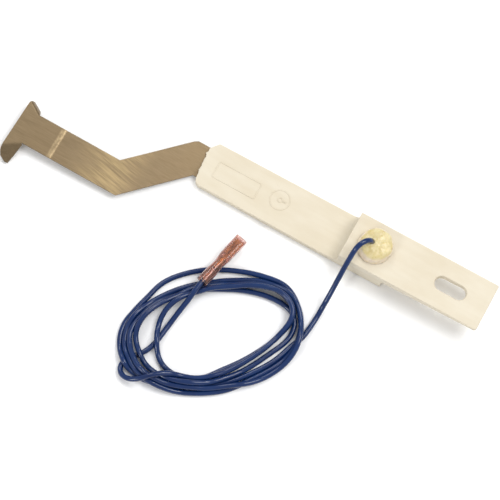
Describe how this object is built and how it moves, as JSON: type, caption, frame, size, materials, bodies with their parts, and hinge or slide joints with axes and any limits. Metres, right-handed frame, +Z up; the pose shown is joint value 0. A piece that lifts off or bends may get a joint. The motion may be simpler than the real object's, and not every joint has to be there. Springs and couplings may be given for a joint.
{
  "type": "flame sensor probe",
  "caption": "Flat-blade flame sensor: dogleg steel electrode strip with T-shaped tip in a long moulded insulator with slotted mounting plate, potted blue lead and crimped push-on terminal.",
  "frame": {"origin": "centre of the rigid pieces' footprint, on the surface the insulator lies on", "axes": "+X along the insulator from the blade tip towards the slotted end, +Z up out of the plate face that carries the potting, +Y across"},
  "size_m": [0.1922, 0.0972, 0.0219],
  "materials": {
    "insulator": "satin cream moulded plastic",
    "steel": "rolled stainless strip, grain along its length",
    "epoxy": "amber translucent cast epoxy",
    "brass": "bright stamped brass",
    "copper": "bright copper",
    "pvc": "dark blue wire insulation",
    "nylon": "translucent salmon nylon"
  },
  "bodies": {
    "root": {"insulator_arm": "insulator", "mounting_plate": "insulator", "electrode_blade": "steel", "potting_compound": "epoxy", "wire_lug": "brass", "lug_rivet": "brass", "conductor_root": "copper", "lead_in": "pvc", "lead_coil": "pvc", "lead_tail": "pvc", "lead_end": "pvc", "terminal_housing": "nylon", "terminal_grip_sleeve": "copper", "terminal_receptacle": "brass", "conductor_tip": "copper"}
  },
  "joints": []
}
